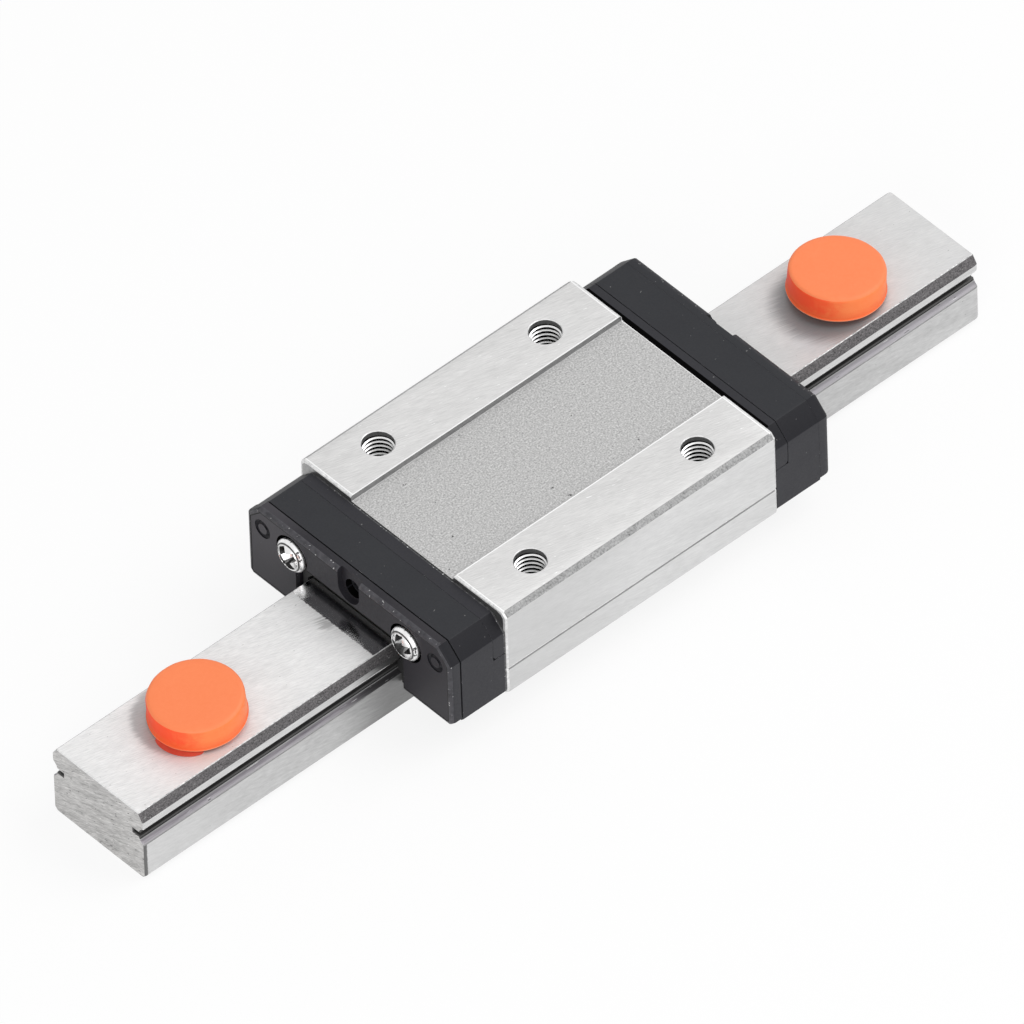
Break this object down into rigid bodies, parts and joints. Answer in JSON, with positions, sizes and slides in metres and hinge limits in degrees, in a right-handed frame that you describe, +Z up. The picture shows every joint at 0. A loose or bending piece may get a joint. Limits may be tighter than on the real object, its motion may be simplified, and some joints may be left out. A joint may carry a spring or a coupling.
{
  "type": "linear guide rail",
  "caption": "Miniature profiled rail with a long steel ball carriage, dark plastic end caps with screwed seal plates, and round push-in plugs in the rail's end holes",
  "frame": {"origin": "centre of the rail's underside", "axes": "+X along the rail, +Y across it, +Z up through the carriage's mounting face"},
  "size_m": [0.1, 0.027, 0.013],
  "materials": {
    "rail_steel": "ground",
    "block_steel": "ground lands, blasted recess",
    "cap_plastic": "moulded, fine matte",
    "frame_plastic": "moulded, fine matte",
    "seal_plastic": "moulded, fine matte",
    "lip_rubber": "matte",
    "screw_chrome": "bright plated",
    "wire_steel": "drawn",
    "ball_steel": "polished",
    "plug_plastic": "soft, smooth matte"
  },
  "bodies": {
    "rail": {"rail": "rail_steel"},
    "carriage": {"block": "block_steel", "cap_screw_far_left": "screw_chrome", "cap_screw_far_right": "screw_chrome", "cap_screw_near_left": "screw_chrome", "cap_screw_near_right": "screw_chrome", "end_cap_far": "cap_plastic", "end_cap_near": "cap_plastic", "load_ball_left_01": "ball_steel", "load_ball_left_02": "ball_steel", "load_ball_left_03": "ball_steel", "load_ball_left_04": "ball_steel", "load_ball_left_05": "ball_steel", "load_ball_left_06": "ball_steel", "load_ball_left_07": "ball_steel", "load_ball_left_08": "ball_steel", "load_ball_left_09": "ball_steel", "load_ball_left_10": "ball_steel", "load_ball_left_11": "ball_steel", "load_ball_left_12": "ball_steel", "load_ball_left_13": "ball_steel", "load_ball_left_14": "ball_steel", "load_ball_left_15": "ball_steel", "load_ball_left_16": "ball_steel", "load_ball_right_01": "ball_steel", "load_ball_right_02": "ball_steel", "load_ball_right_03": "ball_steel", "load_ball_right_04": "ball_steel", "load_ball_right_05": "ball_steel", "load_ball_right_06": "ball_steel", "load_ball_right_07": "ball_steel", "load_ball_right_08": "ball_steel", "load_ball_right_09": "ball_steel", "load_ball_right_10": "ball_steel", "load_ball_right_11": "ball_steel", "load_ball_right_12": "ball_steel", "load_ball_right_13": "ball_steel", "load_ball_right_14": "ball_steel", "load_ball_right_15": "ball_steel", "load_ball_right_16": "ball_steel", "retainer_wire_left": "wire_steel", "retainer_wire_right": "wire_steel", "return_balls_left": "ball_steel", "return_balls_right": "ball_steel", "return_frame_far": "frame_plastic", "return_frame_near": "frame_plastic", "seal_lip_far": "lip_rubber", "seal_lip_near": "lip_rubber", "seal_plate_far": "seal_plastic", "seal_plate_near": "seal_plastic"},
    "plug_near": {"plug_near": "plug_plastic"},
    "plug_far": {"plug_far": "plug_plastic"}
  },
  "joints": [
    {"name": "carriage_slide", "type": "slide", "parent": "rail", "child": "carriage", "axis": [1, 0, 0], "range_m": [-0.0133, 0.0078]},
    {"name": "plug_near_lift", "type": "slide", "parent": "rail", "child": "plug_near", "axis": [0, 0, 1], "range_m": [0, 0.006]},
    {"name": "plug_far_lift", "type": "slide", "parent": "rail", "child": "plug_far", "axis": [0, 0, 1], "range_m": [0, 0.006]}
  ]
}
